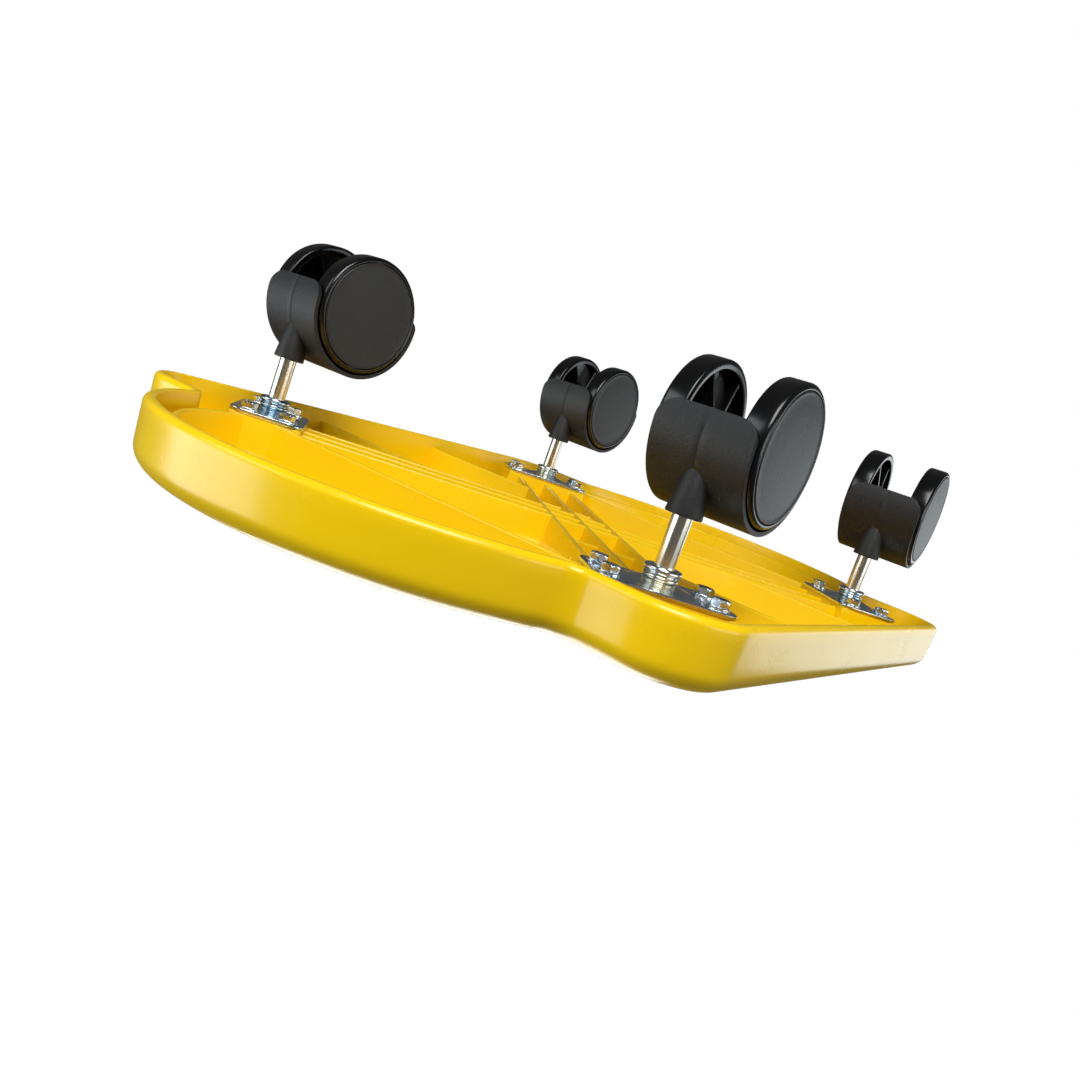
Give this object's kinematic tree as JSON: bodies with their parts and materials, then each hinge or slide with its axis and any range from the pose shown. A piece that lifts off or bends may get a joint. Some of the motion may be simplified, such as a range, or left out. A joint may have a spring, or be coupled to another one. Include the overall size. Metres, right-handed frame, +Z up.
{
  "type": "wheel dolly",
  "caption": "Low rolling platform: moulded ribbed tray with two rounded ends, carried on twin-wheel swivel casters with steel plates and stems.",
  "frame": {"origin": "on the floor under the middle of the tray", "axes": "+Z up, X along the tray's length between the two round ends, Y across it"},
  "size_m": [0.5224, 0.34, 0.118],
  "materials": {
    "yellow_plastic": "glossy moulded polypropylene",
    "zinc": "bright bluish zinc plate",
    "hood_plastic": "fine textured nylon",
    "wheel_plastic": "smooth nylon"
  },
  "bodies": {
    "frame": {"deck": "yellow_plastic", "plate_a": "zinc", "screws_a": "zinc", "collar_a": "zinc", "stem_a": "zinc", "grip_a": "zinc", "plate_b": "zinc", "screws_b": "zinc", "collar_b": "zinc", "stem_b": "zinc", "grip_b": "zinc", "plate_c": "zinc", "screws_c": "zinc", "collar_c": "zinc", "stem_c": "zinc", "grip_c": "zinc", "plate_d": "zinc", "screws_d": "zinc", "collar_d": "zinc", "stem_d": "zinc", "grip_d": "zinc"},
    "caster_a": {"hood_a": "hood_plastic", "axle_a": "zinc"},
    "wheel_a1": {"wheel_a1": "wheel_plastic", "disc_a1": "hood_plastic"},
    "wheel_a2": {"wheel_a2": "wheel_plastic", "disc_a2": "hood_plastic"},
    "caster_b": {"hood_b": "hood_plastic", "axle_b": "zinc"},
    "wheel_b1": {"wheel_b1": "wheel_plastic", "disc_b1": "hood_plastic"},
    "wheel_b2": {"wheel_b2": "wheel_plastic", "disc_b2": "hood_plastic"},
    "caster_c": {"hood_c": "hood_plastic", "axle_c": "zinc"},
    "wheel_c1": {"wheel_c1": "wheel_plastic", "disc_c1": "hood_plastic"},
    "wheel_c2": {"wheel_c2": "wheel_plastic", "disc_c2": "hood_plastic"},
    "caster_d": {"hood_d": "hood_plastic", "axle_d": "zinc"},
    "wheel_d1": {"wheel_d1": "wheel_plastic", "disc_d1": "hood_plastic"},
    "wheel_d2": {"wheel_d2": "wheel_plastic", "disc_d2": "hood_plastic"}
  },
  "joints": [
    {"name": "swivel_a", "type": "hinge", "parent": "frame", "child": "caster_a", "pos_m": [-0.13125, 0.12, 0.055], "axis": [0, 0, 1], "continuous": true},
    {"name": "spin_a1", "type": "hinge", "parent": "caster_a", "child": "wheel_a1", "pos_m": [-0.10815, 0.12, 0.03], "axis": [0, 1, 0], "continuous": true},
    {"name": "spin_a2", "type": "hinge", "parent": "caster_a", "child": "wheel_a2", "pos_m": [-0.10815, 0.12, 0.03], "axis": [0, 1, 0], "continuous": true},
    {"name": "swivel_b", "type": "hinge", "parent": "frame", "child": "caster_b", "pos_m": [0.13125, 0.12, 0.055], "axis": [0, 0, 1], "continuous": true},
    {"name": "spin_b1", "type": "hinge", "parent": "caster_b", "child": "wheel_b1", "pos_m": [0.1543, 0.11847, 0.03], "axis": [0.0663, 0.9978, 0], "continuous": true},
    {"name": "spin_b2", "type": "hinge", "parent": "caster_b", "child": "wheel_b2", "pos_m": [0.1543, 0.11847, 0.03], "axis": [0.0663, 0.9978, 0], "continuous": true},
    {"name": "swivel_c", "type": "hinge", "parent": "frame", "child": "caster_c", "pos_m": [0.13125, -0.12, 0.055], "axis": [0, 0, 1], "continuous": true},
    {"name": "spin_c1", "type": "hinge", "parent": "caster_c", "child": "wheel_c1", "pos_m": [0.15432, -0.11875, 0.03], "axis": [-0.0541, 0.9985, 0], "continuous": true},
    {"name": "spin_c2", "type": "hinge", "parent": "caster_c", "child": "wheel_c2", "pos_m": [0.15432, -0.11875, 0.03], "axis": [-0.0541, 0.9985, 0], "continuous": true},
    {"name": "swivel_d", "type": "hinge", "parent": "frame", "child": "caster_d", "pos_m": [-0.13125, -0.12, 0.055], "axis": [0, 0, 1], "continuous": true},
    {"name": "spin_d1", "type": "hinge", "parent": "caster_d", "child": "wheel_d1", "pos_m": [-0.10827, -0.11762, 0.03], "axis": [-0.1028, 0.9947, 0], "continuous": true},
    {"name": "spin_d2", "type": "hinge", "parent": "caster_d", "child": "wheel_d2", "pos_m": [-0.10827, -0.11762, 0.03], "axis": [-0.1028, 0.9947, 0], "continuous": true}
  ]
}
